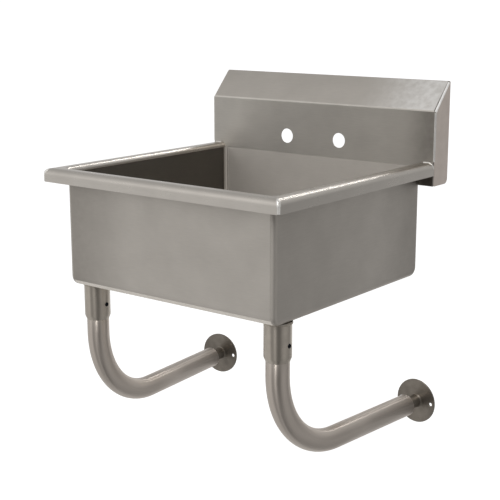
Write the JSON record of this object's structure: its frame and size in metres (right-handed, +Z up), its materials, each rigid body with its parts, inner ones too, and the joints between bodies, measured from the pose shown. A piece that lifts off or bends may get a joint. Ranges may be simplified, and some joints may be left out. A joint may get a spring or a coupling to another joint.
{
  "type": "service sink",
  "caption": "Wall-hung mop service sink in stainless sheet: coved bowl with rolled rims, boxed backsplash over a wall bracket, and J-shaped supports with flanged feet.",
  "frame": {"origin": "on the wall plane, midway across, on the line of the wall bracket's screws (106 mm over the rim)", "axes": "+X along the wall to the right of someone facing the sink, +Y into the wall, +Z up"},
  "size_m": [0.5782, 0.535, 0.6572],
  "materials": {
    "steel_body": "satin stainless sheet, No. 4 brushed",
    "steel_turned": "satin stainless tube and turnings, brushed round",
    "steel_flange": "stainless flange, turned in circles",
    "zinc_steel": "zinc-plated steel bar",
    "black_steel": "black oxide set screws",
    "brass_drain": "satin nickel on brass",
    "nbr_rubber": "matt black rubber",
    "fibre_ring": "matt fibre washer"
  },
  "bodies": {
    "sink": {"bowl_wrap": "steel_body", "bowl_side_left": "steel_body", "bowl_side_right": "steel_body", "rim_front": "steel_body", "rim_left": "steel_body", "rim_right": "steel_body", "splash_panel": "steel_body", "splash_end_left": "steel_body", "splash_end_right": "steel_body", "wall_bracket": "zinc_steel", "socket_plate_left": "steel_body", "socket_plate_right": "steel_body", "leg_socket_left": "steel_turned", "leg_socket_right": "steel_turned", "drain_body": "brass_drain", "drain_gasket": "nbr_rubber", "drain_friction_ring": "fibre_ring", "drain_locknut": "brass_drain"},
    "support_left": {"support_tube_left": "steel_turned", "foot_insert_left": "steel_turned"},
    "support_right": {"support_tube_right": "steel_turned", "foot_insert_right": "steel_turned"},
    "foot_left": {"wall_foot_left": "steel_flange"},
    "foot_right": {"wall_foot_right": "steel_flange"},
    "strainer": {"strainer_basket": "steel_turned", "strainer_stopper": "nbr_rubber", "strainer_post": "steel_turned"},
    "screw_left": {"set_screw_left": "black_steel"},
    "screw_right": {"set_screw_right": "black_steel"}
  },
  "joints": [
    {"name": "strainer_lift", "type": "slide", "parent": "sink", "child": "strainer", "axis": [0, 0, 1], "range_m": [0, 0.1]},
    {"name": "support_left_turn", "type": "hinge", "parent": "sink", "child": "support_left", "pos_m": [-0.21, -0.462, -0.343], "axis": [0, 0, -1], "range_deg": [-10, 5.1]},
    {"name": "support_right_turn", "type": "hinge", "parent": "sink", "child": "support_right", "pos_m": [0.21, -0.462, -0.343], "axis": [0, 0, 1], "range_deg": [-10, 5.1]},
    {"name": "foot_left_extend", "type": "slide", "parent": "support_left", "child": "foot_left", "axis": [-0.0889, 0.996, 0], "range_m": [-0.028, 0.0544]},
    {"name": "foot_right_extend", "type": "slide", "parent": "support_right", "child": "foot_right", "axis": [0.0889, 0.996, 0], "range_m": [-0.028, 0.0544]},
    {"name": "set_screw_left_turn", "type": "hinge", "parent": "sink", "child": "screw_left", "pos_m": [-0.18765, -0.462, -0.363], "axis": [1, 0, 0], "range_deg": [0, 720]},
    {"name": "set_screw_right_turn", "type": "hinge", "parent": "sink", "child": "screw_right", "pos_m": [0.23235, -0.462, -0.363], "axis": [1, 0, 0], "range_deg": [0, 720]}
  ]
}
